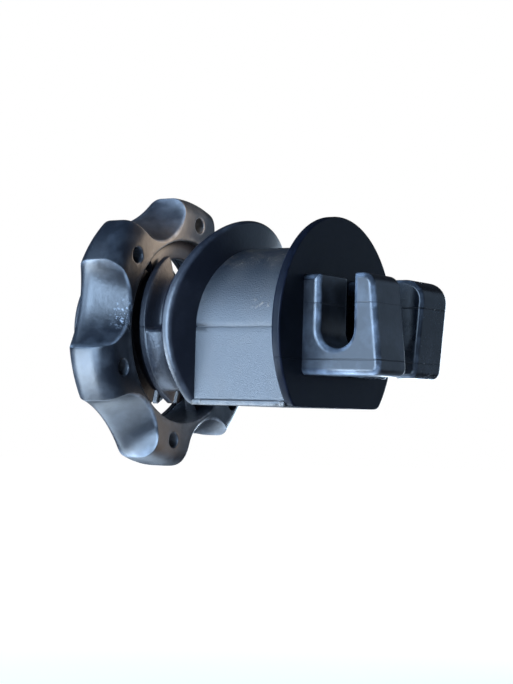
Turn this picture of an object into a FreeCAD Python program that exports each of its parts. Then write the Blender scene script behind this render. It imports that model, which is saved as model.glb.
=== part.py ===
import FreeCAD, Part
import math
import os
import re
import Sketcher

# Screw-on fence insulator for a round steel post.
#
# +X runs along the insulator from the hand nut to the wire jaws, +Z runs up the post.
# The origin is where the post's axis crosses the insulator's axis.
# "near" is the -Y side and "far" is the +Y side.

SIZES = {
    # post seat and threaded prongs
    "seat_radius": 5.1,
    "slot_half_width": 5.6,
    "saddle_half_height": 9.4,
    "saddle_lip": 2.4,
    "prong_radius": 11.0,
    "prong_reach": 19.0,
    "thread_radius": 12.7,
    "thread_pitch": 4.0,
    "thread_start": -3.37,
    "thread_run": 16.0,
    "thread_root_half": 1.0,
    "thread_crest_half": 0.45,
    "thread_bury": 0.3,
    # flanges and barrel
    "flange_radius": 16.8,
    "flat_depth": 11.4,
    "rear_flange_front": 7.6,
    "rear_flange_thick": 1.3,
    "wrap_radius": 35.7,
    "front_flange_front": 22.4,
    "front_flange_thick": 1.4,
    "barrel_half_width": 12.5,
    "barrel_wall": 2.2,
    "lip_height": 0.8,
    "lip_proud": 0.25,
    "rib_thick": 1.8,
    # wire jaws
    "jaw_top": 7.6,
    "jaw_foot": 6.8,
    "jaw_inner": 2.3,
    "jaw_outer": 10.5,
    "slot_near_flange": 25.0,
    "slot_far_flange": 30.4,
    "slot_floor": 3.0,
    "jaw_long_end": 35.1,
    "jaw_short_end": 33.6,
    "jaw_top_round": 3.2,
    "jaw_bottom_round": 1.4,
    # hand nut
    "nut_front": -5.05,
    "nut_thick": 8.0,
    "nut_radius": 21.0,
    "nut_bore": 14.2,
    "nut_front_round": 3.0,
    "nut_back_round": 2.8,
    "lobe_count": 6,
    "lobe_phase": 21.0,
    "lobe_half_angle": 11.5,
    "scallop_front": 14.9,
    "scallop_back": 18.9,
    "blind_ring": 17.1,
    "blind_radius": 1.2,
    "blind_depth": 5.0,
    "lug_count": 3,
    "lug_arc": 70.0,
    "lug_first": 61.0,
    "lug_tip": 11.4,
    "lug_tip_half": 0.55,
    "lug_base_half": 1.1,
    "collar_gap": 0.05,
    "collar_thick": 0.9,
    "collar_radius": 15.0,
}

X_AXIS = FreeCAD.Vector(1, 0, 0)
Y_AXIS = FreeCAD.Vector(0, 1, 0)
ALONG_X = FreeCAD.Rotation(Y_AXIS, 90)
# a cylinder laid along X starts its sweep at the bottom, a quarter turn before the far side
SWEEP_START = 90.0

doc = FreeCAD.newDocument("fence_insulator")
sheet = doc.addObject("Spreadsheet::Sheet", "Sizes")
for row, (alias, value) in enumerate(SIZES.items(), start=1):
    sheet.set(f"A{row}", alias)
    sheet.set(f"B{row}", str(value))
    sheet.setAlias(f"B{row}", alias)
doc.recompute()


def linked(expression):
    """The expression with each alias written as a reference to the sheet."""
    return re.sub(r"[a-z_]+", lambda word: "Sizes." + word[0] if word[0] in SIZES else word[0], expression)


def size(expression):
    """The value of an expression in the sheet's aliases."""
    return float(sheet.evalExpression(linked(expression)))


def bind(obj, **expressions):
    """Drive properties of an object from the sheet; two underscores stand for a dot."""
    for name, expression in expressions.items():
        obj.setExpression(name.replace("__", "."), linked(expression))
    return obj


# ---------------------------------------------------------------- sketching


def new_body(name):
    return doc.addObject("PartDesign::Body", name)


def new_sketch(body, role, name, offset=None):
    """A sketch on one of the body's own origin planes, moved along its normal if asked."""
    sketch = body.newObject("Sketcher::SketchObject", name)
    plane = [item for item in body.Origin.OriginFeatures if item.Role == role][0]
    sketch.AttachmentSupport = [(plane, "")]
    sketch.MapMode = "FlatFace"
    if offset:
        bind(sketch, AttachmentOffset__Base__z=offset)
    doc.recompute()
    return sketch


def hold(sketch, kind, *where, expression):
    """Add a dimension and drive it from the sheet."""
    index = sketch.addConstraint(Sketcher.Constraint(kind, *where, size(expression)))
    sketch.setExpression(f"Constraints[{index}]", linked(expression))


def circle(sketch, radius, across="0", up="0"):
    """A circle whose centre and radius are driven."""
    centre = FreeCAD.Vector(size(across), size(up), 0)
    index = sketch.addGeometry(Part.Circle(centre, FreeCAD.Vector(0, 0, 1), size(radius)), False)
    hold(sketch, "Radius", index, expression=radius)
    if across == "0" and up == "0":
        sketch.addConstraint(Sketcher.Constraint("Coincident", index, 3, -1, 1))
        return
    hold(sketch, "DistanceX", -1, 1, index, 3, expression=across)
    hold(sketch, "DistanceY", -1, 1, index, 3, expression=up)


def arc_middle(start, finish, radius, turn):
    """The middle of the short arc between two points, anticlockwise for turn 1."""
    chord = finish - start
    sagitta = radius - math.sqrt(max(radius ** 2 - (chord.Length / 2) ** 2, 0))
    outward = FreeCAD.Vector(chord.y, -chord.x, 0).normalize() * turn
    return (start + finish) / 2 + outward * sagitta


def outline(sketch, corners, arcs=()):
    """A closed loop through driven corners.

    arcs lists (side, radius, turn): that side is an arc, anticlockwise for turn 1, and not a line.
    """
    bends = {side: (radius, turn) for side, radius, turn in arcs}
    spots = [FreeCAD.Vector(size(across), size(up), 0) for across, up in corners]
    ends = []
    for side, start in enumerate(spots):
        finish = spots[(side + 1) % len(spots)]
        if side in bends:
            radius, turn = bends[side]
            edge = Part.Arc(start, arc_middle(start, finish, size(radius), turn), finish)
            index = sketch.addGeometry(edge, False)
            ends.append((index, 1, 2) if turn > 0 else (index, 2, 1))
        else:
            index = sketch.addGeometry(Part.LineSegment(start, finish), False)
            ends.append((index, 1, 2))
    for side, (index, first, last) in enumerate(ends):
        following, opening, _ = ends[(side + 1) % len(ends)]
        sketch.addConstraint(Sketcher.Constraint("Coincident", index, last, following, opening))
        across, up = corners[side]
        hold(sketch, "DistanceX", -1, 1, index, first, expression=across)
        hold(sketch, "DistanceY", -1, 1, index, first, expression=up)
        if side in bends:
            hold(sketch, "Radius", index, expression=bends[side][0])


# ---------------------------------------------------------------- features


def pad(body, sketch, length, midplane=False, reverse=False):
    feature = body.newObject("PartDesign::Pad", sketch.Name + "_pad")
    feature.Profile = sketch
    feature.Midplane = midplane
    feature.Reversed = reverse
    bind(feature, Length=length)
    doc.recompute()
    return feature


def helix(body, sketch, run):
    """Wind the sketch backwards along the insulator as a right-handed thread."""
    axis = [item for item in body.Origin.OriginFeatures if item.Role == "X_Axis"][0]
    feature = body.newObject("PartDesign::AdditiveHelix", sketch.Name + "_helix")
    feature.Profile = sketch
    feature.ReferenceAxis = (axis, [""])
    feature.Mode = 0
    feature.Reversed = True
    bind(feature, Pitch="thread_pitch", Height=run)
    doc.recompute()
    return feature


def along_x(name, radius, start, length, angle=None):
    """A cylinder on the insulator's axis, from start towards +X."""
    rod = doc.addObject("Part::Cylinder", name)
    rod.Placement = FreeCAD.Placement(FreeCAD.Vector(), ALONG_X)
    bind(rod, Radius=radius, Height=length, Placement__Base__x=start)
    if angle:
        bind(rod, Angle=angle)
    return rod


def block(name, low, high):
    """A box between two corners given as expressions."""
    box = doc.addObject("Part::Box", name)
    sides = [f"({top}) - ({bottom})" for bottom, top in zip(low, high)]
    bind(box, Length=sides[0], Width=sides[1], Height=sides[2])
    bind(box, Placement__Base__x=low[0], Placement__Base__y=low[1], Placement__Base__z=low[2])
    return box


def common(name, *shapes):
    feature = doc.addObject("Part::MultiCommon", name)
    feature.Shapes = list(shapes)
    doc.recompute()
    return feature


def cut(name, base, tool):
    feature = doc.addObject("Part::Cut", name)
    feature.Base = base
    feature.Tool = tool
    doc.recompute()
    return feature


# ---------------------------------------------------------------- insulator body


def wrap_cylinder(name, radius):
    """An upright cylinder whose +X side follows the rear flange's sweep."""
    drum = doc.addObject("Part::Cylinder", name)
    bind(drum, Radius=radius, Height="4 * flange_radius")
    bind(drum, Placement__Base__x="rear_flange_front - wrap_radius", Placement__Base__z="-2 * flange_radius")
    return drum


def thread_blank():
    """A round bar with the outer thread wound on it, before the post slot is cut."""
    body = new_body("thread_blank")
    core = new_sketch(body, "YZ_Plane", "prong_core", offset="rear_flange_front")
    circle(core, "prong_radius")
    pad(body, core, "prong_reach + rear_flange_front", reverse=True)
    ridge = new_sketch(body, "XZ_Plane", "prong_ridge")
    root = "-(prong_radius - thread_bury)"
    crest = "-thread_radius"
    outline(ridge, [
        ("thread_start - thread_root_half", root),
        ("thread_start - thread_crest_half", crest),
        ("thread_start + thread_crest_half", crest),
        ("thread_start + thread_root_half", root),
    ])
    helix(body, ridge, "thread_run")
    return body


def prong(side, sign, blank):
    """One threaded prong: the part of the blank on one side of the post slot."""
    reach = "2 * flange_radius"
    edges = sorted([f"{sign} * slot_half_width", f"{sign} * {reach}"], key=size)
    half = block(
        f"{side}_half",
        ["-prong_reach", edges[0], "-" + reach],
        ["rear_flange_front", edges[1], reach],
    )
    behind = wrap_cylinder(f"{side}_sweep", "wrap_radius - rear_flange_thick")
    return common(f"{side}_prong", blank, half, behind)


def post_saddle():
    """The cradle between the prongs that the post is pulled into."""
    body = new_body("post_saddle")
    plan = new_sketch(body, "XY_Plane", "saddle_plan")
    back_radius = "(wrap_radius - rear_flange_thick)"
    centre = "(rear_flange_front - wrap_radius)"
    back = f"{centre} + sqrt({back_radius}^2 - slot_half_width^2)"
    lip = "sqrt(seat_radius^2 - saddle_lip^2)"
    outline(plan, [
        ("saddle_lip", lip),
        ("saddle_lip", "slot_half_width"),
        (back, "slot_half_width"),
        (back, "-slot_half_width"),
        ("saddle_lip", "-slot_half_width"),
        ("saddle_lip", "-" + lip),
        ("seat_radius", "0"),
    ], arcs=[
        (2, back_radius, -1),
        (5, "seat_radius", 1),
        (6, "seat_radius", 1),
    ])
    pad(body, plan, "2 * saddle_half_height", midplane=True)
    return body


def flange_outline(body, name, offset):
    """A round disc with a flat along its bottom."""
    sketch = new_sketch(body, "YZ_Plane", name, offset=offset)
    reach = "sqrt(flange_radius^2 - flat_depth^2)"
    outline(sketch, [
        (reach, "-flat_depth"),
        ("flange_radius", "0"),
        ("0", "flange_radius"),
        ("-flange_radius", "0"),
        ("-" + reach, "-flat_depth"),
    ], arcs=[(side, "flange_radius", 1) for side in range(4)])
    return sketch


def rear_flange():
    """A thin disc swept back round the post on both sides."""
    disc = new_body("rear_flange_disc")
    pad(disc, flange_outline(disc, "rear_disc", "0"), "rear_flange_front + 1")
    outside = wrap_cylinder("rear_flange_face", "wrap_radius")
    inside = wrap_cylinder("rear_flange_back", "wrap_radius - rear_flange_thick")
    return common("rear_flange", disc, cut("rear_flange_sweep", outside, inside))


def front_flange():
    """The flat disc that carries the wire jaws."""
    body = new_body("front_flange")
    sketch = flange_outline(body, "front_disc", "front_flange_front - front_flange_thick")
    pad(body, sketch, "front_flange_thick")
    return body


def barrel_shell():
    """The arched tunnel between the flanges, open underneath, with a lip along each bottom edge."""
    body = new_body("barrel_arch")
    arch = new_sketch(body, "YZ_Plane", "arch_section")
    outer = "barrel_half_width"
    lip = "(barrel_half_width + lip_proud)"
    inner = "(barrel_half_width - barrel_wall)"
    lip_top = "lip_height - flat_depth"
    outline(arch, [
        (lip, "-flat_depth"),
        (lip, lip_top),
        (outer, lip_top),
        (outer, "0"),
        ("0", outer),
        ("-" + outer, "0"),
        ("-" + outer, lip_top),
        ("-" + lip, lip_top),
        ("-" + lip, "-flat_depth"),
        ("-" + inner, "-flat_depth"),
        ("-" + inner, "0"),
        ("0", inner),
        (inner, "0"),
        (inner, "-flat_depth"),
    ], arcs=[
        (3, outer, 1),
        (4, outer, 1),
        (10, inner, -1),
        (11, inner, -1),
    ])
    pad(body, arch, "front_flange_front - front_flange_thick")
    return cut("barrel_shell", body, wrap_cylinder("barrel_sweep", "wrap_radius"))


def barrel_rib():
    """The upright web inside the barrel that carries the pull from the jaws to the saddle."""
    roof = "sqrt((barrel_half_width - barrel_wall)^2 - (rib_thick / 2)^2)"
    return block(
        "barrel_rib",
        ["rear_flange_front", "-rib_thick / 2", "-flat_depth"],
        ["front_flange_front - front_flange_thick", "rib_thick / 2", roof],
    )


def wire_jaw(side, sign, opening):
    """A block with a slot across it, open at the top for opening 1 or underneath for -1.

    Its end leans outwards away from the slot's mouth.
    """
    body = new_body(f"{side}_wire_jaw")
    profile = new_sketch(body, "XZ_Plane", f"{side}_jaw_profile")
    top = "jaw_top"
    foot = "-jaw_foot"
    above = "jaw_top - jaw_top_round"
    below = "jaw_bottom_round - jaw_foot"
    lean = {1: ("jaw_short_end", "jaw_long_end"), -1: ("jaw_long_end", "jaw_short_end")}
    upper_end, lower_end = lean[opening]
    round_radius = "(slot_far_flange - slot_near_flange) / 2"
    slot_middle = "(slot_far_flange + slot_near_flange) / 2"
    slot_floor = f"{-opening} * slot_floor"
    slot_round = f"{-opening} * (slot_floor - {round_radius})"
    slot = [
        ("slot_near_flange", slot_round),
        (slot_middle, slot_floor),
        ("slot_far_flange", slot_round),
    ]
    outer = [
        (f"{upper_end} - jaw_top_round", top),
        (upper_end, above),
        (lower_end, below),
        (f"{lower_end} - jaw_bottom_round", foot),
    ]
    if opening > 0:
        corners = [("front_flange_front", top), ("slot_near_flange", top)] + slot
        corners += [("slot_far_flange", top)] + outer + [("front_flange_front", foot)]
        arcs = [(2, round_radius, 1), (3, round_radius, 1), (6, "jaw_top_round", -1), (8, "jaw_bottom_round", -1)]
    else:
        corners = [("front_flange_front", top)] + outer + [("slot_far_flange", foot)] + slot[::-1]
        corners += [("slot_near_flange", foot), ("front_flange_front", foot)]
        arcs = [(1, "jaw_top_round", -1), (3, "jaw_bottom_round", -1), (6, round_radius, 1), (7, round_radius, 1)]
    outline(profile, corners, arcs)
    pad(body, profile, "jaw_outer - jaw_inner", reverse=sign > 0)
    bind(profile, AttachmentOffset__Base__z=f"{-sign} * jaw_inner")
    doc.recompute()
    return body


# ---------------------------------------------------------------- hand nut


def lobe_outline(body, name, offset, scallop):
    """Lobes of the full radius with a hollow between each pair, as deep as scallop."""
    sketch = new_sketch(body, "YZ_Plane", name, offset=offset)
    step = "360 / lobe_count"
    corners = []
    arcs = []
    half_chord = f"nut_radius * sin({step} / 2 - lobe_half_angle)"
    depth = f"(nut_radius * cos({step} / 2 - lobe_half_angle) - {scallop})"
    hollow = f"(({half_chord})^2 + {depth}^2) / (2 * {depth})"
    for lobe in range(SIZES["lobe_count"]):
        for edge in (-1, 1):
            angle = f"lobe_phase + {lobe} * {step} + {edge} * lobe_half_angle"
            corners.append((f"nut_radius * cos({angle})", f"nut_radius * sin({angle})"))
        arcs.append((2 * lobe, "nut_radius", 1))
        arcs.append((2 * lobe + 1, hollow, -1))
    outline(sketch, corners, arcs)
    return sketch


def grip_rim():
    """The six-lobed ring that a hand turns, with thumb hollows that fade towards the back."""
    lobes = new_body("lobed_blank")
    front = lobe_outline(lobes, "lobes_front", "nut_front", "scallop_front")
    back = lobe_outline(lobes, "lobes_back", "nut_front - nut_thick", "scallop_back")
    loft = lobes.newObject("PartDesign::AdditiveLoft", "lobes_loft")
    loft.Profile = front
    loft.Sections = [back]
    loft.Ruled = True
    doc.recompute()

    ring = new_body("rounded_ring")
    section = new_sketch(ring, "XY_Plane", "ring_section")
    back_face = "nut_front - nut_thick"
    outline(section, [
        ("nut_front", "nut_bore"),
        ("nut_front", "nut_radius - nut_front_round"),
        ("nut_front - nut_front_round", "nut_radius"),
        (f"{back_face} + nut_back_round", "nut_radius"),
        (back_face, "nut_radius - nut_back_round"),
        (back_face, "nut_bore"),
    ], arcs=[
        (1, "nut_front_round", 1),
        (3, "nut_back_round", 1),
    ])
    turn = ring.newObject("PartDesign::Revolution", "ring_turn")
    turn.Profile = section
    turn.ReferenceAxis = (section, ["H_Axis"])
    turn.Angle = 360
    doc.recompute()

    holes = new_body("blind_holes")
    mouth = new_sketch(holes, "YZ_Plane", "blind_mouth", offset="nut_front")
    circle(mouth, "blind_radius", "blind_ring * cos(lobe_phase)", "blind_ring * sin(lobe_phase)")
    first = pad(holes, mouth, "blind_depth", reverse=True)
    ring_of_holes = holes.newObject("PartDesign::PolarPattern", "blind_pattern")
    ring_of_holes.Originals = [first]
    ring_of_holes.Axis = ([item for item in holes.Origin.OriginFeatures if item.Role == "X_Axis"][0], [""])
    ring_of_holes.Angle = 360
    bind(ring_of_holes, Occurrences="lobe_count")
    holes.Tip = ring_of_holes
    doc.recompute()
    return cut("nut_grip_rim", common("lobed_ring", lobes, ring), holes)


def thread_lugs():
    """Short stretches of inner thread, so that the moulding tool pulls straight out between them.

    One turn is wound from the near side, half a pitch out of step with the prongs' thread.
    """
    blank = new_body("lug_thread")
    ridge = new_sketch(blank, "XY_Plane", "lug_ridge")
    middle = "thread_start - 3 * thread_pitch / 4"
    root = "-(nut_bore + thread_bury)"
    outline(ridge, [
        (f"{middle} - lug_base_half", root),
        (f"{middle} - lug_tip_half", "-lug_tip"),
        (f"{middle} + lug_tip_half", "-lug_tip"),
        (f"{middle} + lug_base_half", root),
    ])
    helix(blank, ridge, "thread_pitch")
    lugs = []
    for number in range(SIZES["lug_count"]):
        sector = along_x(f"lug_sector_{number + 1}", "nut_bore", "nut_front - nut_thick", "nut_thick", angle="lug_arc")
        start_angle = size("lug_first") + 360 / SIZES["lug_count"] * number
        turn = FreeCAD.Rotation(X_AXIS, start_angle + SWEEP_START)
        sector.Placement = FreeCAD.Placement(sector.Placement.Base, turn.multiply(ALONG_X))
        bind(sector, Placement__Base__x="nut_front - nut_thick")
        lugs.append(common(f"nut_thread_lug_{number + 1}", blank, sector))
    return lugs


def rear_collar():
    """The plain round collar at the back of the nut."""
    start = "nut_front - nut_thick - collar_gap - collar_thick"
    outside = along_x("collar_outside", "collar_radius", start, "collar_thick")
    bore = along_x("collar_bore", "nut_bore", start, "collar_thick")
    return cut("nut_rear_collar", outside, bore)


# ---------------------------------------------------------------- assembly


blank = thread_blank()
nodes = [
    prong("near", -1, blank),
    prong("far", 1, blank),
    post_saddle(),
    rear_flange(),
    barrel_shell(),
    barrel_rib(),
    front_flange(),
    wire_jaw("near", -1, opening=1),
    wire_jaw("far", 1, opening=-1),
    grip_rim(),
    *thread_lugs(),
    rear_collar(),
]
doc.recompute()

for item in doc.Objects:
    if "Invalid" in item.State or "Error" in item.State:
        raise RuntimeError(f"{item.Name} did not compute: {item.State}")

os.makedirs("parts", exist_ok=True)
for node in nodes:
    if node.Shape.isNull() or not node.Shape.isValid():
        raise RuntimeError(f"{node.Label} has no valid shape")
    node.Shape.exportStep(f"parts/{node.Label}.step")
    print(f"{node.Label}: {len(node.Shape.Solids)} solid, {node.Shape.Volume:.1f} cubic mm")
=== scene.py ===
import math
import bmesh
import bpy
import numpy as np
from mathutils import Matrix, Vector


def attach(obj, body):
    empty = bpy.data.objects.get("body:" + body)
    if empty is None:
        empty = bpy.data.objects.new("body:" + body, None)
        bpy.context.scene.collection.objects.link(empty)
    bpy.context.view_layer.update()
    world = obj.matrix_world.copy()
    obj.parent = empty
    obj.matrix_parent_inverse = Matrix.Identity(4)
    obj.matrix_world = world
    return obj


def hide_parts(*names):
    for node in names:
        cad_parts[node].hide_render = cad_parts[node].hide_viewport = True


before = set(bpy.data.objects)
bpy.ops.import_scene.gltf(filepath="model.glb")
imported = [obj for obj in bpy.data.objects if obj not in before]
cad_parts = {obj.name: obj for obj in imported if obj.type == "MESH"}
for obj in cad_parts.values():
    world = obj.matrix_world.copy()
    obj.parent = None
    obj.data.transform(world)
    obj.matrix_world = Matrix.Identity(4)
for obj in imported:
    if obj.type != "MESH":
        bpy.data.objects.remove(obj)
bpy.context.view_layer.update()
MM = 0.001

# ---------------------------------------------------------------- camera
# A long lens at the insulator's own height, a third of a right angle round towards the wire jaws.

camera_data = bpy.data.cameras.new("camera")
camera_data.lens = 88.5
camera_data.sensor_width = 36.0
camera_data.shift_y = 0.0032
camera_data.clip_start = 0.01
camera_data.clip_end = 20.0
camera = bpy.data.objects.new("camera", camera_data)
bpy.context.scene.collection.objects.link(camera)
bpy.context.scene.camera = camera
camera_right = Vector((0.8403, 0.5414, 0.0271))
camera_up = Vector((0.0, -0.0501, 0.9987))
camera_back = Vector((0.5421, -0.8393, -0.0421))
camera_place = Vector((146.23, -214.2, -12.69)) * MM
turned = Matrix((camera_right, camera_up, camera_back)).transposed().to_4x4()
camera.matrix_world = Matrix.Translation(camera_place) @ turned

# ---------------------------------------------------------------- floor and backdrop
# A pale matt floor some way below the insulator, which hangs in the air as it does on its post.
# A pale dome closes the room behind it and is seen by the camera alone.


class Wire:
    """One output in a shader tree. Arithmetic on it adds Math nodes."""

    def __init__(self, tree, socket=None):
        self.tree = tree
        self.socket = socket

    def node(self, kind, settings=None, inputs=None, output=0):
        made = self.tree.nodes.new(kind)
        for name, value in (settings or {}).items():
            setattr(made, name, value)
        for name, value in (inputs or {}).items():
            if isinstance(value, Wire):
                self.tree.links.new(value.socket, made.inputs[name])
            else:
                made.inputs[name].default_value = value
        return Wire(self.tree, made.outputs[output])

    def math(self, operation, *values):
        return self.node("ShaderNodeMath", {"operation": operation}, dict(enumerate(values)))

    def __add__(self, other):
        return self.math("ADD", self, other)

    def __sub__(self, other):
        return self.math("SUBTRACT", self, other)

    def __rsub__(self, other):
        return self.math("SUBTRACT", other, self)

    def __mul__(self, other):
        return self.math("MULTIPLY", self, other)

    __radd__ = __add__
    __rmul__ = __mul__

    def within(self, low, high):
        """0 below low and 1 above high, eased between; low may be the larger."""
        settings = {"interpolation_type": "SMOOTHSTEP"}
        return self.node("ShaderNodeMapRange", settings, {"Value": self, "From Min": low, "From Max": high})


def matt_white(name, level, near_glow):
    """Matt paper that fades to plain white half a metre out."""
    material = bpy.data.materials.new(name)
    material.use_nodes = True
    tree = material.node_tree
    shader = tree.nodes["Principled BSDF"]
    speckle = Wire(tree).node("ShaderNodeTexNoise", inputs={"Scale": 40.0, "Detail": 3.0})
    shade = Wire(tree).node(
        "ShaderNodeMix",
        {"data_type": "RGBA"},
        {"Factor": speckle, "A": (level, level, level, 1.0), "B": (level - 0.01, level - 0.01, level, 1.0)},
        output="Result",
    )
    tree.links.new(shade.socket, shader.inputs["Base Color"])
    shader.inputs["Roughness"].default_value = 0.9
    shader.inputs["Specular IOR Level"].default_value = 0.0
    at = Wire(tree)
    place = at.node("ShaderNodeTexCoord", output="Object")
    reach = at.node("ShaderNodeVectorMath", {"operation": "LENGTH"}, {0: place}, output="Value")
    glow = reach.within(0.15, 0.55) * (1.0 - near_glow) + near_glow
    grey = at.node("ShaderNodeCombineColor", inputs={0: glow, 1: glow, 2: glow})
    tree.links.new(grey.socket, shader.inputs["Emission Color"])
    shader.inputs["Emission Strength"].default_value = 1.0
    return material


def room_surface(name, rings, material):
    """A surface of revolution about the vertical from (radius, height) rings."""
    steps = 96
    mesh = bmesh.new()
    rows = []
    for radius, height in rings:
        row = []
        for step in range(steps):
            angle = math.tau * step / steps
            row.append(mesh.verts.new((radius * math.cos(angle), radius * math.sin(angle), height)))
        rows.append(row)
    for lower, upper in zip(rows, rows[1:]):
        for step in range(steps):
            after = (step + 1) % steps
            mesh.faces.new((lower[step], lower[after], upper[after], upper[step]))
    data = bpy.data.meshes.new(name)
    mesh.to_mesh(data)
    mesh.free()
    surface = bpy.data.objects.new(name, data)
    bpy.context.scene.collection.objects.link(surface)
    data.materials.append(material)
    data.shade_smooth()
    return surface


FLOOR_HEIGHT = -0.09
DOME_RADIUS = 2.4
floor = room_surface(
    "floor",
    [(0.001, FLOOR_HEIGHT), (0.3, FLOOR_HEIGHT), (1.0, FLOOR_HEIGHT), (DOME_RADIUS, FLOOR_HEIGHT)],
    matt_white("floor_paper", 0.9, 0.45),
)
floor.visible_glossy = False
dome_arc = [math.pi * step / 40 for step in range(1, 40)]
dome = room_surface(
    "backdrop",
    [(DOME_RADIUS * math.sin(angle), -DOME_RADIUS * math.cos(angle)) for angle in dome_arc],
    matt_white("backdrop_paper", 0.0, 1.0),
)
dome.visible_glossy = False
dome.visible_diffuse = False
dome.visible_shadow = False

# ---------------------------------------------------------------- light
# Cool windows: a bright one on the near side, dimmer ones to the left, overhead and behind. Two low
# panels light the nut from below, and two tiny warm ones stand for light thrown back by the post.

LIGHTS_AIM = Vector((0.008, 0.0, 0.0))


def window(name, direction, distance, size, power, colour):
    light = bpy.data.lights.new(name, "AREA")
    light.shape = "RECTANGLE"
    light.size, light.size_y = size
    light.energy = power
    light.color = colour
    lamp = bpy.data.objects.new(name, light)
    toward = Vector(direction).normalized()
    lamp.location = LIGHTS_AIM + toward * distance
    lamp.rotation_mode = "QUATERNION"
    lamp.rotation_quaternion = toward.to_track_quat("Z", "Y")
    bpy.context.scene.collection.objects.link(lamp)
    return lamp


COOL = (0.50, 0.71, 1.0)
PALE = (0.66, 0.82, 1.0)
WARM = (1.0, 0.80, 0.62)
window("near_window", (0.04, -0.99, 0.03), 0.80, (0.44, 0.75), 27.0, COOL)
window("left_window", (-0.60, -0.80, 0.02), 0.80, (0.45, 0.75), 9.6, COOL)
window("overhead_window", (-0.60, -0.45, 0.62), 0.80, (0.40, 0.40), 1.0, COOL)
window("back_window", (0.60, 0.78, 0.10), 0.90, (0.80, 0.80), 1.3, COOL)
window("far_window", (-0.22, 0.96, -0.06), 0.90, (0.50, 0.40), 6.0, PALE)
low_panel = window("low_panel", (-0.62, -0.66, -0.42), 0.165, (0.11, 0.06), 0.44, PALE)
floor_panel = window("floor_panel", (0.0, 0.0, -1.0), 0.1, (0.12, 0.10), 0.20, PALE)
floor_panel.location = (-0.05, 0.0, FLOOR_HEIGHT + 0.005)
low_panel.visible_camera = False
floor_panel.visible_camera = False
for name, height, power in (("upper_glow", 0.030, 0.0085), ("lower_glow", -0.030, 0.0022)):
    glow = window(name, (1.0, 0.0, 0.0), 0.1, (0.009, 0.040), power, WARM)
    glow.location = (0.001, 0.001, height)
    glow.visible_camera = False

world = bpy.data.worlds.new("studio_air")
world.use_nodes = True
world.node_tree.nodes["Background"].inputs["Color"].default_value = (0.62, 0.76, 1.0, 1.0)
world.node_tree.nodes["Background"].inputs["Strength"].default_value = 0.07
bpy.context.scene.world = world
bpy.context.scene.view_settings.view_transform = "Standard"

# ---------------------------------------------------------------- post saddle
# The cradle between the prongs that the steel post is pulled into: black polypropylene, moulded in
# one shot with the prongs and the flange, with its round seat open towards the hand nut.


def inset_loop(corners, inset, steps=6):
    """The points of an anticlockwise outline moved inwards.

    A corner is (across, up, round, share): share scales the inset of the side that follows it.
    """
    points = []
    count = len(corners)
    for index, (across, up, bend, share) in enumerate(corners):
        before, after = corners[index - 1], corners[(index + 1) % count]
        here = np.array((across, up))
        run_in = here - np.array(before[:2])
        run_out = np.array(after[:2]) - here
        run_in /= np.linalg.norm(run_in)
        run_out /= np.linalg.norm(run_out)
        normal_in = np.array((-run_in[1], run_in[0]))
        normal_out = np.array((-run_out[1], run_out[0]))
        turning = run_in[0] * run_out[1] - run_in[1] * run_out[0]
        if abs(turning) < 1e-4:
            corner = here + normal_in * inset * share
        else:
            sides = np.array((normal_in, normal_out))
            corner = here + np.linalg.solve(sides, (inset * before[3], inset * share))
        if bend == 0:
            points.append(corner)
            continue
        convex = 1 if turning > 0 else -1
        radius = max(bend - convex * inset, 0.03)
        angle = math.atan2(abs(turning), run_in @ run_out)
        start = corner - run_in * radius * math.tan(angle / 2)
        centre = start + normal_in * radius * convex
        for step in range(steps + 1):
            turn = angle * convex * step / steps
            across, up = start - centre
            cosine, sine = math.cos(turn), math.sin(turn)
            points.append(centre + np.array((across * cosine - up * sine, across * sine + up * cosine)))
    return np.array(points)


FACE_RING = 0.12


def edge_steps(depth, round_low, round_high, steps=5):
    """(height, inset, wear) through a slab's thickness with a rounded edge at each face.

    The first and last rows lie FACE_RING further in, so each flat face starts with a narrow ring.
    """
    quarter = [math.pi / 2 * step / steps for step in range(steps + 1)]
    rows = [(0.0, round_low + FACE_RING, 0.0)]
    for angle in quarter:
        rise, inset = round_low * (1 - math.cos(angle)), round_low * (1 - math.sin(angle))
        rows.append((rise, inset, math.sin(2 * angle)))
    for angle in quarter[::-1]:
        fall, inset = round_high * (1 - math.cos(angle)), round_high * (1 - math.sin(angle))
        rows.append((depth - fall, inset, math.sin(2 * angle)))
    rows.append((depth, round_high + FACE_RING, 0.0))
    return rows


def skin(name, loops, wear, around=False):
    """A closed mesh through loops of equal count, in mm; around joins the last loop to the first."""
    mesh = bmesh.new()
    mask = mesh.verts.layers.float.new("wear")
    rows = []
    for loop, levels in zip(loops, wear):
        row = []
        for spot, level in zip(loop, np.broadcast_to(levels, len(loop))):
            vertex = mesh.verts.new(Vector([float(value) for value in spot]) * MM)
            vertex[mask] = float(level)
            row.append(vertex)
        rows.append(row)
    pairs = list(zip(rows, rows[1:]))
    if around:
        pairs.append((rows[-1], rows[0]))
    for lower, upper in pairs:
        for step in range(len(lower)):
            after = (step + 1) % len(lower)
            mesh.faces.new((lower[step], lower[after], upper[after], upper[step])).smooth = True
    if not around:
        mesh.faces.new(rows[0]).smooth = False
        mesh.faces.new(rows[-1][::-1]).smooth = False
    bmesh.ops.recalc_face_normals(mesh, faces=mesh.faces)
    data = bpy.data.meshes.new(name)
    mesh.to_mesh(data)
    mesh.free()
    piece = bpy.data.objects.new(name, data)
    bpy.context.scene.collection.objects.link(piece)
    shading = piece.modifiers.new("shading", "WEIGHTED_NORMAL")
    shading.weight = 60
    return piece


def band(wire, centre, half):
    """1 on a thin line across one coordinate, 0 away from it; in mm."""
    off = wire - centre * MM
    return off.math("ABSOLUTE", off).within(half * MM, half * MM * 0.3)


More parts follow.
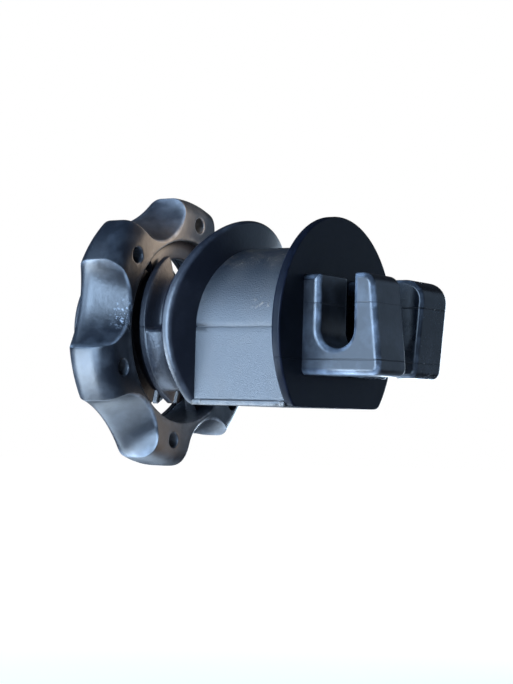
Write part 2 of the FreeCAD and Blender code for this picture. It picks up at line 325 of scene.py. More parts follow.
def ball(at, place, centre, radius):
    """1 near a point and 0 beyond its radius; in mm."""
    away = at.node(
        "ShaderNodeVectorMath",
        {"operation": "DISTANCE"},
        {0: place, 1: [value * MM for value in centre]},
        output="Value",
    )
    return away.within(radius * MM, radius * MM * 0.35)


def moulded_plastic(name, dark, worn_and_sheen, rough, grain, grain_depth, gloss=0.5, marks=None):
    """Black moulded plastic: grain in mm, edges mixed towards a second colour for rubbing and, on the wire
    jaws and nut hollows, a painted highlight; faint blooms and any marks of its own.

    marks(at, place, noise) returns (lighten, dull, height in mm), each a Wire or a number.
    """
    material = bpy.data.materials.new(name)
    material.use_nodes = True
    tree = material.node_tree
    shader = tree.nodes["Principled BSDF"]
    at = Wire(tree)
    place = at.node("ShaderNodeTexCoord", output="Object")

    def noise(size, detail=3.0, rough_part=0.55):
        inputs = {"Vector": place, "Scale": 1 / (size * MM), "Detail": detail, "Roughness": rough_part}
        return at.node("ShaderNodeTexNoise", inputs=inputs)

    bloom = noise(6.0, 4.0, 0.6)
    pebble = noise(grain, 2.0, 0.5)
    fleck = noise(0.35, 3.0, 0.7).within(0.68, 0.78)
    edge = at.node("ShaderNodeAttribute", {"attribute_name": "wear"}, output="Fac")
    # The edge mask mixes in the second colour: real rubbing, and on the wire jaws and the nut's creases a
    # painted edge highlight.
    rub_and_sheen = edge * (noise(1.6, 3.0).within(0.35, 0.7) * 0.7 + 0.3)
    lighten, dull, height = marks(at, place, noise) if marks else (0.0, 0.0, 0.0)
    share = rub_and_sheen * 0.5 + (bloom - 0.5) * 0.5 + fleck * 0.12 + lighten
    clamped = at.node("ShaderNodeClamp", inputs={"Value": share})
    colour = at.node(
        "ShaderNodeMix",
        {"data_type": "RGBA"},
        {"Factor": clamped, "A": (*dark, 1.0), "B": (*worn_and_sheen, 1.0)},
        output="Result",
    )
    tree.links.new(colour.socket, shader.inputs["Base Color"])
    roughness = (bloom - 0.5) * 0.16 + (pebble - 0.5) * 0.10 + rub_and_sheen * -0.08 + dull + rough
    tree.links.new(roughness.socket, shader.inputs["Roughness"])
    relief = pebble * (grain_depth * MM)
    if marks:
        relief = relief + height * MM
    bump_inputs = {"Strength": 1.0, "Distance": 1.0, "Height": relief}
    bump = at.node("ShaderNodeBump", inputs=bump_inputs, output="Normal")
    tree.links.new(bump.socket, shader.inputs["Normal"])
    shader.inputs["Specular IOR Level"].default_value = gloss
    return material


BLACK = (0.004, 0.005, 0.009)
WORN = (0.045, 0.050, 0.062)


def finish_piece(piece, material, body, slot, *nodes):
    piece.data.materials.append(material)
    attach(piece, body)
    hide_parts(*nodes)


SEAT_RADIUS = 5.1
SLOT_HALF = 5.58
SADDLE_HALF_HEIGHT = 9.4
SADDLE_LIP = 2.4
WRAP_RADIUS = 35.7
REAR_FRONT = 7.6
REAR_THICK = 1.3
WELD_BEHIND = REAR_THICK * 0.6


def rear_face(across, behind=0.0):
    """Where the rear flange's swept face lies, or a surface that far behind it."""
    return REAR_FRONT - WRAP_RADIUS + np.sqrt((WRAP_RADIUS - behind) ** 2 - np.asarray(across) ** 2)


lip_half = math.sqrt(SEAT_RADIUS ** 2 - SADDLE_LIP ** 2)
saddle_back = float(rear_face(SLOT_HALF, WELD_BEHIND))
plan = [
    (SADDLE_LIP, -SLOT_HALF, 0.3, 1),
    (saddle_back, -SLOT_HALF, 0, 0),
    (saddle_back, SLOT_HALF, 0, 1),
    (SADDLE_LIP, SLOT_HALF, 0.3, 1),
    (SADDLE_LIP, lip_half, 0.25, 1),
]
seat_end = math.atan2(lip_half, SADDLE_LIP)
for step in range(1, 24):
    angle = seat_end * (1 - step / 12)
    plan.append((SEAT_RADIUS * math.cos(angle), SEAT_RADIUS * math.sin(angle), 0, 1))
plan.append((SADDLE_LIP, -lip_half, 0.25, 1))
saddle_loops = []
saddle_wear = []
for rise, inset, worn_and_sheen in edge_steps(2 * SADDLE_HALF_HEIGHT, 0.45, 0.45):
    loop = inset_loop(plan, inset)
    saddle_loops.append(np.column_stack((loop, np.full(len(loop), rise - SADDLE_HALF_HEIGHT))))
    saddle_wear.append(worn_and_sheen)
saddle = skin("post_saddle_cradle", saddle_loops, saddle_wear)


def seat_rubs(at, place, noise):
    streaks = at.node(
        "ShaderNodeTexNoise",
        inputs={
            "Vector": at.node("ShaderNodeMapping", inputs={"Vector": place, "Scale": (1.0, 1.0, 0.12)}),
            "Scale": 1400.0,
            "Detail": 3.0,
        },
    )
    return streaks.within(0.5, 0.75) * 0.25, streaks * 0.08, streaks * -0.02


finish_piece(
    saddle,
    moulded_plastic(
        "saddle_plastic", BLACK, WORN, rough=0.42, grain=0.5, grain_depth=0.012, marks=seat_rubs,
    ),
    "insulator_body", "body_plastic", "post_saddle",
)

# ---------------------------------------------------------------- threaded prongs
# Two stiff half-round prongs that pass either side of the post, black polypropylene. A coarse
# square-crested thread is moulded round the outside of both, broken by the slot between them.

PRONG_RADIUS = 11.0
PRONG_TIP = -19.0
THREAD_RADIUS = 12.7
THREAD_PITCH = 4.0
THREAD_START = -3.37
ROOT_HALF = 1.0
CREST_HALF = 0.45
RUN_OUT = 4.2
FILLET_SHARE = 0.94
GROOVE_DEPTH = 1.0
GROOVE_MIDDLE = 1.65
PRONG_HALF_ANGLE = 58.0
PRONG_SPOKES = 57
FLAT_SPOTS = 9
FLAT_SETBACK = 0.3
TIP_ROUND = 0.6
ROOT_END = 6.0
RIDGE_STEPS = (0, 0.2, 0.35, 0.45, 0.55, 0.7, 0.85, 1.0, 1.1)


def thread_height(along, angle, ridges):
    """How far the thread stands off the prong; angle in degrees from the far side up."""
    tallest = np.zeros_like(along)
    for ridge in ridges:
        off = np.abs(along - ridge - (angle - 180.0) / 360.0 * THREAD_PITCH)
        ramp = np.clip((ROOT_HALF - off) / (ROOT_HALF - CREST_HALF), 0, 1)
        tallest = np.maximum(tallest, 0.5 * ramp + 0.5 * ramp * ramp * (3 - 2 * ramp))
    return tallest * (THREAD_RADIUS - PRONG_RADIUS)


def prong(name, middle, first_ridge):
    """middle is the prong's own direction in degrees; first_ridge is where its first ridge crosses it."""
    ridges = [first_ridge - THREAD_PITCH * turn for turn in range(5)]
    ridges = [ridge for ridge in ridges if ridge > PRONG_TIP - 0.4]
    stations = {PRONG_TIP + rise for rise in (0.0, 0.04, 0.12, 0.25, 0.4, TIP_ROUND)}
    for ridge in ridges:
        for off in RIDGE_STEPS:
            stations.update((ridge + off, ridge - off))
        stations.update((ridge - 1.6, ridge - 2.0, ridge - 2.4))
    stations.update(np.arange(first_ridge + 1.4, ROOT_END, 0.45))
    stations = sorted(s for s in stations if s >= PRONG_TIP) + [ROOT_END + 0.1]
    spread = np.linspace(-1, 1, PRONG_SPOKES)
    loops, wear = [], []
    for station in stations:
        rise = station - PRONG_TIP
        round_off = TIP_ROUND - math.sqrt(TIP_ROUND ** 2 - (TIP_ROUND - min(rise, TIP_ROUND)) ** 2)
        # The loops lean with the thread, but not at the tip or at the root.
        lean = np.clip(rise, 0, 1) * np.clip((1.0 - station) / 3.0, 0, 1)
        # Where the flat side starts depends on the radius there, so it is settled in a few rounds.
        half = np.full(PRONG_SPOKES, PRONG_HALF_ANGLE)
        for _ in range(4):
            angle = spread * half
            along = station + lean * angle / 360.0 * THREAD_PITCH
            height = thread_height(along, angle + 180.0, ridges)
            if middle == 180:
                # The near prong's last ridge: it fills out into the neck below, with a groove above.
                past = along - first_ridge - angle / 360.0 * THREAD_PITCH
                sink = np.clip(past / RUN_OUT, 0, 1)
                fade = np.clip((PRONG_HALF_ANGLE - angle) / 10.0, 0, 1)
                filled = (THREAD_RADIUS - PRONG_RADIUS) * (1 - sink ** 3) * fade
                lower = np.clip(angle / 2.0, 0, 1) * (past > 0)
                height = np.maximum(height, filled * lower * FILLET_SHARE)
                groove = np.clip(1.5 - np.abs(past - GROOVE_MIDDLE) / 0.5, 0, 1)
                height = height - GROOVE_DEPTH * groove * np.clip(-angle / 2.0, 0, 1)
            radius = PRONG_RADIUS + height - round_off
            half = np.degrees(np.arccos((SLOT_HALF + FLAT_SETBACK + round_off) / radius))
        turn = np.radians(angle + middle)
        out = np.column_stack((along, radius * np.cos(turn), radius * np.sin(turn)))
        crest = (height > 1.2) * (height < 1.66) * 0.9 + (height >= 1.66) * 0.25
        sign = -1 if middle == 180 else 1
        flat_y = sign * (SLOT_HALF + round_off)
        first, last = out[0], out[-1]
        inner = []
        high = last[2] - math.copysign(FLAT_SETBACK, last[2])
        low = first[2] - math.copysign(FLAT_SETBACK, first[2])
        for share in np.linspace(0, 1, FLAT_SPOTS):
            along = last[0] * (1 - share) + first[0] * share
            inner.append((along, flat_y, high * (1 - share) + low * share))
        loop = np.vstack((out, inner))
        back = rear_face(loop[:, 1], WELD_BEHIND)
        if station > ROOT_END:
            loop[:, 0] = back
        else:
            loop[:, 0] = np.minimum(loop[:, 0], back - 0.05)
        loops.append(loop)
        wear.append(np.concatenate((crest, np.zeros(FLAT_SPOTS))))
    return skin(name, loops, wear)


def prong_marks(at, place, noise):
    upright = at.node("ShaderNodeSeparateXYZ", inputs={"Vector": place}, output="Z")
    seam = band(upright, 0.0, 0.16)
    scuff = noise(0.8, 4.0, 0.7).within(0.55, 0.75)
    return scuff * 0.12 - seam * 0.2, scuff * 0.06 + seam * 0.1, seam * -0.05 + scuff * 0.012


prong_plastic = moulded_plastic(
    "prong_plastic", BLACK, WORN, rough=0.50, grain=0.38, grain_depth=0.045, marks=prong_marks,
)
near_ridge = THREAD_START - THREAD_PITCH / 4
far_ridge = THREAD_START - THREAD_PITCH * 3 / 4
finish_piece(
    prong("near_prong_threaded", 180, near_ridge), prong_plastic,
    "insulator_body", "body_plastic", "near_prong",
)
finish_piece(
    prong("far_prong_threaded", 0, far_ridge), prong_plastic,
    "insulator_body", "body_plastic", "far_prong",
)

# ---------------------------------------------------------------- rear flange
# The thin swept disc that closes the nut's side of the barrel, black polypropylene moulded with the
# barrel. Its rim is fully rounded and its bottom is cut off flat.

FLANGE_RADIUS = 16.8
FLAT_DEPTH = 11.4
RIM_POINTS = 240


def flange_loop(inset, scale=1.0):
    """(y, z) round a disc with a flat underside, moved inwards and scaled."""
    angle = np.linspace(0, math.tau, RIM_POINTS, endpoint=False)
    angle = angle + 0.012 * np.sin(6 * angle)
    below = np.where(np.sin(angle) < -0.05, (FLAT_DEPTH - inset) / np.maximum(-np.sin(angle), 0.05), 99.0)
    radius = np.minimum(below, FLANGE_RADIUS - inset)
    gap = np.clip(1 - np.abs(below - FLANGE_RADIUS + inset), 0, 1)
    radius = (radius - 0.18 * gap ** 2) * scale
    return np.column_stack((radius * np.cos(angle), radius * np.sin(angle)))


rear_loops, rear_wear = [], []
rear_steps = edge_steps(REAR_THICK, 0.5, 0.6, steps=6)
inner_scales = [0.05, 0.2, 0.35, 0.5, 0.62, 0.72, 0.8, 0.87, 0.93, 0.97]
through = [(0.0, 0.5, 0.0, scale) for scale in inner_scales]
through += [(*step, 1.0) for step in rear_steps]
through += [(REAR_THICK, 0.6, 0.0, scale) for scale in inner_scales[::-1]]
for rise, inset, worn_and_sheen, scale in through:
    loop = flange_loop(inset, scale)
    rear_loops.append(np.column_stack((rear_face(loop[:, 0], REAR_THICK - rise), loop)))
    rear_wear.append(worn_and_sheen)
rear_flange = skin("rear_flange_disc", rear_loops, rear_wear)


def rear_flange_marks(at, place, noise):
    scuff = noise(1.1, 4.0, 0.7).within(0.58, 0.8)
    return scuff * 0.15, scuff * 0.05, scuff * 0.008


finish_piece(
    rear_flange,
    moulded_plastic(
        "rear_flange_plastic", BLACK, WORN, rough=0.38, grain=0.45, grain_depth=0.022,
        marks=rear_flange_marks,
    ),
    "insulator_body", "body_plastic", "rear_flange",
)

# ---------------------------------------------------------------- barrel
# The arched tunnel between the flanges, open underneath. Its outside carries the mould's fine spark
# grain, a hairline seam at half height and a narrow lip along each bottom edge.

BARREL_HALF = 12.5
BARREL_WALL = 2.2
LIP_HEIGHT = 0.8
LIP_PROUD = 0.25
BARREL_FRONT = 21.0
LIP_NICKS = ((0.075, 0.018, 0.28), (0.93, 0.02, 0.34))
SEAM_HALF = 0.17
SEAM_DEPTH = 0.20


def arch_section(lip):
    """Outside points, and the inside point behind each, up one side and down the other."""
    outside, inside, rub = [], [], []
    inner = BARREL_HALF - BARREL_WALL
    top_of_lip = LIP_HEIGHT - FLAT_DEPTH
    profile = [
        (BARREL_HALF + lip - 0.12, -FLAT_DEPTH, 0.6),
        (BARREL_HALF + lip, -FLAT_DEPTH + 0.12, 1.0),
        (BARREL_HALF + lip, top_of_lip - 0.16, 0.5),
        (BARREL_HALF + lip * 0.8, top_of_lip - 0.04, 0.6),
        (BARREL_HALF - 0.06, top_of_lip + 0.05, 0.0),
        (BARREL_HALF - 0.04, top_of_lip + 0.2, 0.0),
        (BARREL_HALF, top_of_lip + 0.45, 0.0),
        (BARREL_HALF, -7.5, 0.0),
        (BARREL_HALF, -4.0, 0.0),
        (BARREL_HALF, -1.0, 0.0),
        (BARREL_HALF, -SEAM_HALF, 0.1),
        (BARREL_HALF - SEAM_DEPTH, -SEAM_HALF * 0.3, 0.0),
        (BARREL_HALF - SEAM_DEPTH, SEAM_HALF * 0.3, 0.0),
        (BARREL_HALF - 0.01, SEAM_HALF, 0.1),
    ]
    for across, up, worn_and_sheen in profile:
        outside.append((across, up))
        inside.append((inner, up))
        rub.append(worn_and_sheen)
    for step in range(1, 61):
        angle = 0.02 + (math.pi - 0.04) * step / 61
        outside.append((BARREL_HALF * math.cos(angle), BARREL_HALF * math.sin(angle)))
        inside.append((inner * math.cos(angle), inner * math.sin(angle)))
        rub.append(0.0)
    for across, up, worn_and_sheen in profile[::-1]:
        outside.append((-across, up))
        inside.append((-inner, up))
        rub.append(worn_and_sheen)
    return outside + inside[::-1], rub + [0.0] * len(inside)


barrel_loops, barrel_wear = [], []
ends_and_middle = (np.linspace(0, 0.12, 7), np.linspace(0.15, 0.85, 9), np.linspace(0.88, 1.0, 7))
for share in np.concatenate(ends_and_middle):
    nick = sum(depth * math.exp(-((share - spot) / wide) ** 2) for spot, wide, depth in LIP_NICKS)
    section, rub = arch_section(LIP_PROUD - nick)
    section = np.array(section)
    start = rear_face(section[:, 0], 0.25)
    along = start + (BARREL_FRONT + 0.1 - start) * share
    barrel_loops.append(np.column_stack((along, section)))
    barrel_wear.append(rub)
barrel = skin("barrel_arch", barrel_loops, barrel_wear)


def barrel_marks(at, place, noise):
    upright = at.node("ShaderNodeSeparateXYZ", inputs={"Vector": place}, output="Z")
    # The crown is lightened towards the brown second colour: scuffs, and a painted reflection of the yellow
    # post.
    crown_scuff_and_reflection = upright.within(7.5 * MM, 11.5 * MM)
    scuff = noise(0.7, 4.0, 0.72).within(0.56, 0.66)
    smear = noise(2.4, 3.0).within(0.45, 0.65)
    scratched = ball(at, place, (16.5, -11.6, 3.6), 2.6) * scuff
    return (
        crown_scuff_and_reflection * scuff * 0.9 + crown_scuff_and_reflection * smear * 0.25 + scratched * 0.8,
        crown_scuff_and_reflection * -0.16 - scratched * 0.1,
        crown_scuff_and_reflection * scuff * 0.05 + scratched * 0.03,
    )


finish_piece(
    barrel,
    moulded_plastic(
        # The brown second colour, on the crown and the rubbed edges, is partly scuffing and partly a painted
        # reflection of the yellow post.
        "barrel_plastic", (0.012, 0.014, 0.018), (0.100, 0.078, 0.058),
        rough=0.50, grain=0.19, grain_depth=0.060, gloss=0.72, marks=barrel_marks,
    ),
    "insulator_body", "body_plastic", "barrel_shell",
)

# ---------------------------------------------------------------- barrel rib
# The upright web inside the barrel that carries the wire's pull back to the post saddle, moulded
# with the barrel and slightly thinner at its free bottom edge.

RIB_HALF = 0.9
RIB_TOP = 10.25
rib_loops, rib_wear = [], []
for rise, inset, worn_and_sheen in edge_steps(RIB_TOP + FLAT_DEPTH, 0.3, 0.02):
    height = rise - FLAT_DEPTH
    half = RIB_HALF - 0.15 * (1 - (height + FLAT_DEPTH) / (RIB_TOP + FLAT_DEPTH)) - inset
    rib_loops.append([(7.4, -half, height), (14.0, -half, height), (21.1, -half, height),
                      (21.1, half, height), (14.0, half, height), (7.4, half, height)])
    rib_wear.append(worn_and_sheen)
finish_piece(
    skin("barrel_rib_web", rib_loops, rib_wear),
    moulded_plastic("rib_plastic", BLACK, WORN, rough=0.45, grain=0.5, grain_depth=0.012),
    "insulator_body", "body_plastic", "barrel_rib",
)

# ---------------------------------------------------------------- front flange
# The flat disc that keeps the wire and rain off the barrel, moulded with it against a polished
# mould face, so it is smoother and darker than the rest.

FRONT_FACE = 22.4
FRONT_THICK = 1.4
front_loops, front_wear = [], []
front_steps = edge_steps(FRONT_THICK, 0.35, 0.28)
through = [(0.0, 0.35, 0.0, scale) for scale in (0.05, 0.4, 0.7, 0.9, 0.97)]
through += [(*step, 1.0) for step in front_steps]
through += [(FRONT_THICK, 0.28, 0.0, scale) for scale in (0.97, 0.9, 0.7, 0.4, 0.05)]
for rise, inset, worn_and_sheen, scale in through:
    loop = flange_loop(inset, scale)
    front_loops.append(np.column_stack((np.full(len(loop), FRONT_FACE - FRONT_THICK + rise), loop)))
    front_wear.append(worn_and_sheen)
front_flange = skin("front_flange_disc", front_loops, front_wear)


def front_flange_marks(at, place, noise):
    upright = at.node("ShaderNodeSeparateXYZ", inputs={"Vector": place}, output="Z")
    seam = band(upright, -4.6, 0.14)
    smear = noise(3.0, 4.0, 0.65).within(0.4, 0.7)
    return smear * 0.18 - seam * 0.2, smear * 0.05, seam * -0.04


finish_piece(
    front_flange,
    moulded_plastic(
        "front_flange_plastic", (0.002, 0.003, 0.006), (0.009, 0.011, 0.020),
        rough=0.36, grain=0.6, grain_depth=0.002, gloss=0.08, marks=front_flange_marks,
    ),
    "insulator_body", "flange_plastic", "front_flange",
)

# ---------------------------------------------------------------- wire jaws
# Two slotted blocks side by side on the front flange, one slot open at the top and one underneath,
# so that the fence wire is turned in between them. Glossy black, with generous mould radii whose edges carry
# a painted highlight.

JAW_TOP = 7.6
JAW_FOOT = -6.8
JAW_INNER = 2.3
JAW_OUTER = 10.5
SLOT_NEAR = 25.0
SLOT_FAR = 30.4
SLOT_FLOOR = 3.0
SLOT_ROUND = 2.66
LONG_END = 35.05
SHORT_END = 33.5
# Pale colour for the far jaw's edges: scuffing, and a painted highlight.
SCUFF_AND_EDGE_HIGHLIGHT = (0.090, 0.110, 0.140)
# Pale blue colour mixed in along the near jaw's rounded edges: a painted highlight.
PAINTED_EDGE_HIGHLIGHT = (0.200, 0.245, 0.310)


def wire_jaw(name, side, opening):
    """side is -1 near and 1 far; opening is 1 for a slot open at the top and -1 underneath."""
    top, foot = JAW_TOP, JAW_FOOT
    if opening > 0:
        corners = [
            (FRONT_FACE - 0.1, foot, 0, 1), (LONG_END, foot, 1.3, 1), (SHORT_END, top, 1.9, 1),
            (SLOT_FAR, top, 0.35, 1), (SLOT_FAR, -SLOT_FLOOR, SLOT_ROUND, 1),
            (SLOT_NEAR, -SLOT_FLOOR, SLOT_ROUND, 1), (SLOT_NEAR, top, 0.35, 1),
            (FRONT_FACE - 0.1, top, 0, 0),
        ]
    else:
        corners = [
            (FRONT_FACE - 0.1, foot, 0, 1), (SLOT_NEAR, foot, 0.35, 1),
            (SLOT_NEAR, SLOT_FLOOR, SLOT_ROUND, 1), (SLOT_FAR, SLOT_FLOOR, SLOT_ROUND, 1),
            (SLOT_FAR, foot, 0.35, 1), (SHORT_END + 0.35, foot, 1.3, 1), (LONG_END, top, 3.1, 1),
            (FRONT_FACE - 0.1, top, 0, 0),
        ]
    loops, wear = [], []
    for rise, inset, worn_and_sheen in edge_steps(JAW_OUTER - JAW_INNER, 0.70, 0.90, steps=7):
        loop = inset_loop(corners, inset, steps=9)
        across = np.full(len(loop), side * (JAW_INNER + rise))
        loops.append(np.column_stack((loop[:, 0], across, loop[:, 1])))
        wear.append(worn_and_sheen)
    return skin(name, loops, wear)


def jaw_marks(seam_heights):
    def marks(at, place, noise):
        upright = at.node("ShaderNodeSeparateXYZ", inputs={"Vector": place}, output="Z")
        seam = band(upright, seam_heights[0], 0.12)
        for height in seam_heights[1:]:
            seam = seam + band(upright, height, 0.10) * 0.5
        smear = noise(1.8, 4.0, 0.6).within(0.45, 0.7)
        # Painted light: the bottom of each jaw is lightened, as if lit from below.
        painted_underside_light = upright.within(-6.2 * MM, -6.8 * MM)
        return smear * 0.03 - seam * 0.3 + painted_underside_light * 0.3, smear * 0.05 + seam * 0.1, seam * -0.04

    return marks


finish_piece(
    wire_jaw("near_wire_jaw_block", -1, 1),
    moulded_plastic(
        # The near jaw's edges are mixed towards the pale colour above: a painted highlight.
        "near_jaw_plastic", (0.003, 0.004, 0.007), PAINTED_EDGE_HIGHLIGHT,
        rough=0.34, grain=0.5, grain_depth=0.008, gloss=0.42, marks=jaw_marks((-4.6, 3.4)),
    ),
    "insulator_body", "jaw_plastic", "near_wire_jaw",
)
finish_piece(
    wire_jaw("far_wire_jaw_block", 1, -1),
    moulded_plastic(
        # The far jaw's extra-dark base is painted shade for the gap between the jaws; its edges take
        # scuffing and a painted highlight.
        "far_jaw_plastic", (0.002, 0.003, 0.005), SCUFF_AND_EDGE_HIGHLIGHT,
        rough=0.24, grain=0.5, grain_depth=0.003, gloss=0.18, marks=jaw_marks((3.4, -4.6)),
    ),
    "insulator_body", "jaw_plastic", "far_wire_jaw",
)

# ---------------------------------------------------------------- nut grip rim
# The six-lobed hand nut's ring, black polypropylene with a satin skin. Each thumb hollow is deep
# and tongue-shaped at the front and fades out towards the back; the blind holes save material.

NUT_FRONT = -5.05
NUT_THICK = 8.0
NUT_RADIUS = 21.0
NUT_BORE = 14.2
FRONT_ROUND = 3.0
BACK_ROUND = 2.8
LOBES = 6
LOBE_PHASE = 21.0
HOLLOW_HALF = 18.5
HOLLOW_FRONT = 14.9
HOLLOW_BACK = 19.2
CREASE_SOFT = 0.22
FRONT_EDGE = 0.35


def ring_radius(back):
    """The plain ring's radius that far behind its front face, before its back edge is rounded."""
    lead = max(FRONT_ROUND - back, 0.0)
    return NUT_RADIUS - FRONT_ROUND + math.sqrt(max(FRONT_ROUND ** 2 - lead ** 2, 0))


def back_drop(back):
    """How far the rounded back edge stands in from the plain ring and the hollows alike."""
    trail = max(back - (NUT_THICK - BACK_ROUND), 0.0)
    return BACK_ROUND - math.sqrt(max(BACK_ROUND ** 2 - trail ** 2, 0))


def hollow_radius(back, angle):
    """A thumb hollow's radius at an angle in degrees from its own middle."""
    middle = HOLLOW_FRONT + (HOLLOW_BACK - HOLLOW_FRONT) * back / NUT_THICK
    half_chord = NUT_RADIUS * math.sin(math.radians(HOLLOW_HALF))
    depth = NUT_RADIUS * math.cos(math.radians(HOLLOW_HALF)) - middle
    bend = (half_chord ** 2 + depth ** 2) / (2 * depth)
    centre = middle + bend
    turn = np.radians(angle)
    return centre * np.cos(turn) - np.sqrt(np.maximum(bend ** 2 - (centre * np.sin(turn)) ** 2, 0))


def crease_angle(back):
    """Where the hollow runs out into the ring."""
    low, high = 0.0, HOLLOW_HALF
    for _ in range(40):
        middle = (low + high) / 2
        if hollow_radius(back, middle) < ring_radius(back):
            low = middle
        else:
            high = middle
    return high


def soft_lower(first, second, blend):
    share = np.clip(0.5 + 0.5 * (second - first) / blend, 0, 1)
    return second * (1 - share) + first * share - blend * share * (1 - share)


hollow_steps = np.sin(np.linspace(-math.pi / 2, math.pi / 2, 31))
lobe_steps = (1 - np.cos(np.linspace(0, math.pi, 17))) / 2
backs = [0.0, 0.02, 0.06, 0.12, 0.2, 0.3, 0.45, 0.65, 0.9, 1.2, 1.6, 2.0, 2.4, 2.8, 3.3, 3.8, 4.3, 4.8]
backs += [5.2, 5.6, 6.0, 6.4, 6.75, 7.05, 7.3, 7.5, 7.66, 7.8, 7.9, 7.96, 8.0]


def rim_row(back):
    """Angles, radii and wear round the nut at one depth."""
    crease = crease_angle(back)
    angles, radii, rub = [], [], []
    plain = ring_radius(back)
    drop = back_drop(back)
    lead = FRONT_EDGE - min(back, FRONT_EDGE)
    edge_drop = FRONT_EDGE - math.sqrt(max(FRONT_EDGE ** 2 - lead ** 2, 0))
    for lobe in range(LOBES):
        middle = LOBE_PHASE + 30.0 + 60.0 * lobe
        for step in hollow_steps:
            away = crease * float(step)
            hollow = float(hollow_radius(back, away))
            softened = float(soft_lower(hollow, plain, CREASE_SOFT))
            inward = 1 - abs(step) ** 8
            angles.append(middle + away)
            radii.append(softened - edge_drop * inward - drop)
            # Each hollow's crease is mixed towards the pale second colour: rubbing, and a painted highlight
            # along the crease.
            crease_rub_and_highlight = math.exp(-((1 - abs(step)) / 0.05) ** 2) * 0.9
            rub.append(max(crease_rub_and_highlight, math.exp(-((back - 0.15) / 0.2) ** 2)))
        for step in lobe_steps[1:-1]:
            away = crease + (60.0 - 2 * crease) * float(step)
            beyond = min(away, 60.0 - away)
            hollow = float(hollow_radius(back, min(beyond, HOLLOW_HALF)))
            softened = float(soft_lower(hollow, plain, CREASE_SOFT)) if beyond < HOLLOW_HALF else plain
            angles.append(middle + away)
            radii.append(softened - drop)
            rub.append(0.0)
    return np.radians(angles), np.array(radii), rub


def rim_loop(angles, radii, back):
    along = np.full(len(angles), NUT_FRONT - back)
    return np.column_stack((along, radii * np.cos(angles), radii * np.sin(angles)))


rim_loops, rim_wear = [], []
for back in backs:
    angles, radii, rub = rim_row(back)
    rim_loops.append(rim_loop(angles, radii, back))
    rim_wear.append(rub)
BORE_CHAMFER = 0.3
angles, outer, _ = rim_row(NUT_THICK)
flat_start = NUT_BORE + BORE_CHAMFER
for share in (0.75, 0.4, 0.12):
    rim_loops.append(rim_loop(angles, flat_start + (outer - flat_start) * share, NUT_THICK))
    rim_wear.append(np.zeros(len(angles)))
bore_edge = [(BORE_CHAMFER, 0.0, 0.3), (0.09, 0.09, 1.0), (0.0, BORE_CHAMFER, 0.3)]
for inset, rise, worn_and_sheen in bore_edge + [(0.0, 2.5, 0.0), (0.0, 5.5, 0.0)]:
    rim_loops.append(rim_loop(angles, np.full(len(angles), NUT_BORE + inset), NUT_THICK - rise))
    rim_wear.append(np.full(len(angles), worn_and_sheen))
angles, outer, _ = rim_row(0.0)
for inset, back, worn_and_sheen in bore_edge[::-1]:
    rim_loops.append(rim_loop(angles, np.full(len(angles), NUT_BORE + inset), back))
    rim_wear.append(np.full(len(angles), worn_and_sheen))
for share in (0.3, 0.65, 0.92):
    rim_loops.append(rim_loop(angles, flat_start + (outer - flat_start) * share, 0.0))
    rim_wear.append(np.zeros(len(angles)))
grip_rim = skin("nut_grip_rim_lobes", rim_loops, rim_wear, around=True)

BLIND_RING = 17.1
BLIND_RADIUS = 1.2
BLIND_DEPTH = 5.0
DRILL_POINTS = 32
grip_rim.modifiers.clear()
drill_shape = [(0.3, 1.42), (0.0, 1.42), (-0.04, 1.3), (-0.14, 1.22), (-0.3, BLIND_RADIUS), (-2.5, 1.18),
               (-4.6, 1.16), (-4.9, 1.05), (-BLIND_DEPTH, 0.8)]
for lobe in range(LOBES):
    turn = math.radians(LOBE_PHASE + 60.0 * lobe)
    round_turn = np.linspace(0, math.tau, DRILL_POINTS, endpoint=False)
    drill_loops = []
    for rise, radius in drill_shape:
        drill_loops.append(np.column_stack((
            np.full(DRILL_POINTS, NUT_FRONT + rise),
            BLIND_RING * math.cos(turn) + radius * np.cos(round_turn),
            BLIND_RING * math.sin(turn) + radius * np.sin(round_turn),
        )))
    drill = skin("drill", drill_loops, [0.0] * len(drill_loops))
    cutting = grip_rim.modifiers.new("blind_hole", "BOOLEAN")
    cutting.object = drill
    cutting.operation = "DIFFERENCE"
    cutting.solver = "EXACT"
    evaluated = grip_rim.evaluated_get(bpy.context.evaluated_depsgraph_get())
    drilled = bpy.data.meshes.new_from_object(evaluated)
    grip_rim.modifiers.clear()
    grip_rim.data = drilled
    bpy.data.objects.remove(drill)
grip_rim.modifiers.new("shading", "WEIGHTED_NORMAL").weight = 60


def nut_marks(at, place, noise):
    scuff = noise(0.55, 4.0, 0.75).within(0.52, 0.66)
    knocked = ball(at, place, (-5.3, -15.4, 1.6), 3.2)
    rubbed_patch = noise(4.0, 3.0).within(0.5, 0.7)
    return knocked * scuff * 0.9 + rubbed_patch * 0.03, rubbed_patch * 0.08, knocked * scuff * -0.015


nut_plastic = moulded_plastic(
    # The pale blue-grey second colour paints a highlight along the hollows' creases and also marks the
    # rubbed front and bore edges.
    "nut_plastic", (0.004, 0.006, 0.010), (0.18, 0.21, 0.25),
    rough=0.38, grain=0.7, grain_depth=0.024, marks=nut_marks,
)
finish_piece(grip_rim, nut_plastic, "hand_nut", "nut_plastic", "nut_grip_rim")

# ---------------------------------------------------------------- nut thread lugs
# Three short stretches of inner thread moulded in the nut's bore, staggered along one turn so that
# the mould's core pulls straight out between them.

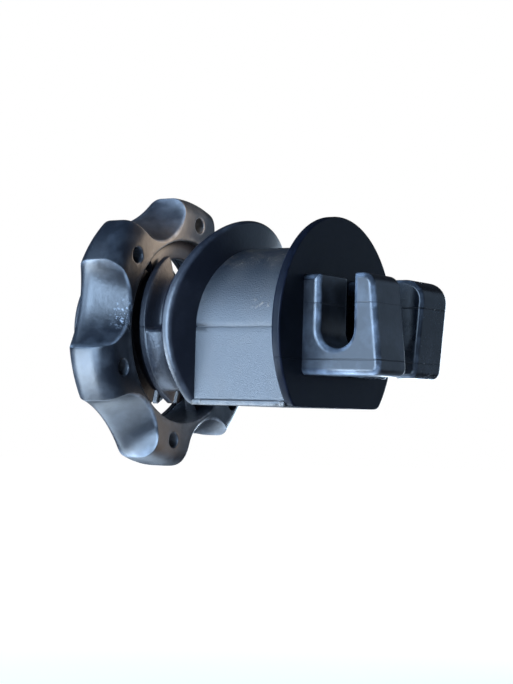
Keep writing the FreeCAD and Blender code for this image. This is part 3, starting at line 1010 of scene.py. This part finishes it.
LUG_ARC = 70.0
LUG_TIP = 11.4
LUG_TIP_HALF = 0.55
LUG_BASE_HALF = 1.05
lug_plastic = moulded_plastic("lug_plastic", BLACK, WORN, rough=0.42, grain=0.5, grain_depth=0.010)
for number, start_angle in enumerate((61.0, -179.0, -59.0), start=1):
    lug_loops, lug_wear = [], []
    for share in np.concatenate(([0.0], np.linspace(0.01, 0.99, 22), [1.0])):
        turn = start_angle + LUG_ARC * share
        middle = THREAD_START - THREAD_PITCH * 3 / 4 + (turn - 180.0) / 360.0 * THREAD_PITCH
        drop = 0.35 if share in (0.0, 1.0) else 0.0
        section = [
            (-LUG_BASE_HALF, NUT_BORE + 0.15), (-LUG_TIP_HALF - 0.04, LUG_TIP + 0.2 + drop),
            (-LUG_TIP_HALF + 0.16, LUG_TIP + drop), (LUG_TIP_HALF - 0.16, LUG_TIP + drop),
            (LUG_TIP_HALF + 0.04, LUG_TIP + 0.2 + drop), (LUG_BASE_HALF, NUT_BORE + 0.15),
        ]
        angle = math.radians(turn)
        lug_loops.append([(middle + x, r * math.cos(angle), r * math.sin(angle)) for x, r in section])
        lug_wear.append([0.0, 0.6, 1.0, 1.0, 0.6, 0.0])
    finish_piece(
        skin(f"nut_thread_lug_{number}_ridge", lug_loops, lug_wear), lug_plastic,
        "hand_nut", "nut_plastic", f"nut_thread_lug_{number}",
    )

# ---------------------------------------------------------------- nut rear collar
# The plain round collar at the back of the nut, black polypropylene moulded in one with the nut.
# Its edges are rounded and it butts on the rim's flat back face.

COLLAR_FRONT = -13.1
COLLAR_THICK = 0.9
COLLAR_RADIUS = 15.0
COLLAR_ROUND = 0.3
COLLAR_STEPS = 128
section = inset_loop(
    [
        (COLLAR_FRONT - COLLAR_THICK, NUT_BORE, 0.2, 1), (COLLAR_FRONT, NUT_BORE, 0.1, 1),
        (COLLAR_FRONT, COLLAR_RADIUS, 0.1, 1), (COLLAR_FRONT - COLLAR_THICK, COLLAR_RADIUS, COLLAR_ROUND, 1),
    ],
    0.0,
)
collar_loops = []
for step in range(COLLAR_STEPS):
    angle = math.tau * step / COLLAR_STEPS
    collar_loops.append([(x, r * math.cos(angle), r * math.sin(angle)) for x, r in section])
corner_rub = np.tile(np.sin(np.linspace(0, math.pi, 7)), 4)
collar = skin("nut_rear_collar_ring", collar_loops, [corner_rub] * COLLAR_STEPS, around=True)
finish_piece(
    collar,
    moulded_plastic(
        "collar_plastic", (0.012, 0.013, 0.017), WORN, rough=0.38, grain=0.5, grain_depth=0.008,
    ),
    "nut_carrier", "nut_plastic", "nut_rear_collar",
)
